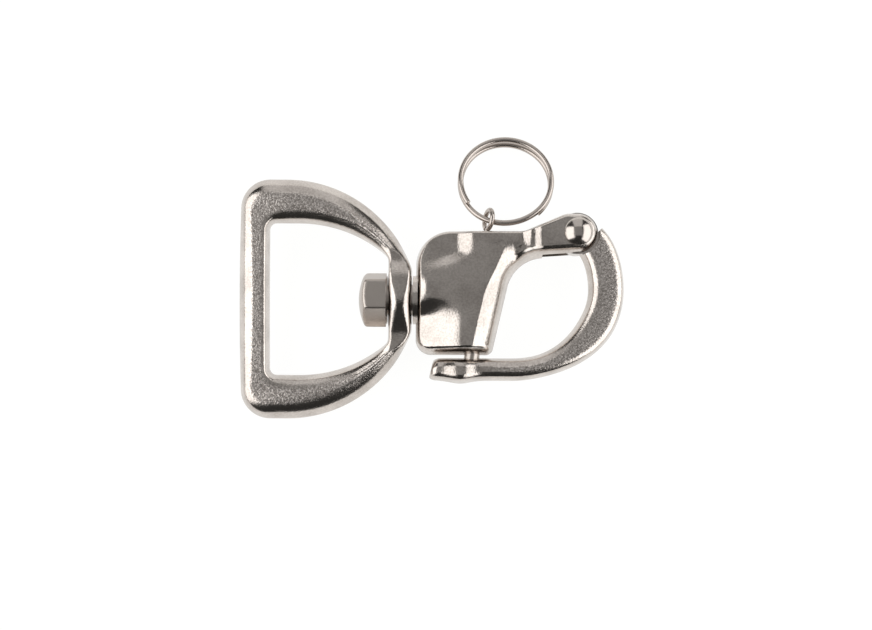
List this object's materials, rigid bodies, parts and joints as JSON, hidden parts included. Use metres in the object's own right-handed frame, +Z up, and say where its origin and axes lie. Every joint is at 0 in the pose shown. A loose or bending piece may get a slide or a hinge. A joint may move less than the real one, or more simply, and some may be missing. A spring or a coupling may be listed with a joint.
{
  "type": "quick release shackle",
  "caption": "Quick release snap shackle lying latched: a swivelling D bail with a webbing slot, and a hinged curved jaw held shut by a sprung plunger with an eye and a split ring.",
  "frame": {"origin": "middle of the outline as it lies, on the surface it lies on", "axes": "+X along the shackle from the bail to the jaw, +Y towards the hinge and the pull ring, +Z up from the surface"},
  "size_m": [0.1, 0.075, 0.0156],
  "materials": {
    "casting": "investment cast stainless steel, blasted flats with tumbled edges",
    "turned": "turned stainless steel, bright",
    "wire": "drawn stainless wire, polished",
    "spring": "drawn spring wire"
  },
  "bodies": {
    "shackle": {"swivel_bolt": "turned", "shackle_body": "casting", "hinge_rivet": "turned", "plunger_spring": "spring"},
    "bail": {"d_bail": "casting"},
    "gate": {"jaw": "casting"},
    "latch": {"plunger": "turned", "pull_eye": "wire"},
    "ring": {"split_ring": "wire"}
  },
  "joints": [
    {"name": "swivel", "type": "hinge", "parent": "shackle", "child": "bail", "pos_m": [-0.00498, -0.0065, 0.0077], "axis": [1, 0, 0], "continuous": true},
    {"name": "jaw_open", "type": "hinge", "parent": "shackle", "child": "gate", "pos_m": [0.03762, 0.0109, 0.0077], "axis": [0, 0, 1], "range_deg": [0, 105]},
    {"name": "plunger_pull", "type": "slide", "parent": "shackle", "child": "latch", "axis": [0.1167, 0.9932, 0], "range_m": [0, 0.006], "stiffness_N_per_m": 2400, "springref_m": -0.0025, "deforming": ["plunger_spring"]},
    {"name": "ring_swing", "type": "hinge", "parent": "latch", "child": "ring", "pos_m": [0.01468, 0.01443, 0.00805], "axis": [1, 0, 0], "range_deg": [-60, 90]}
  ]
}
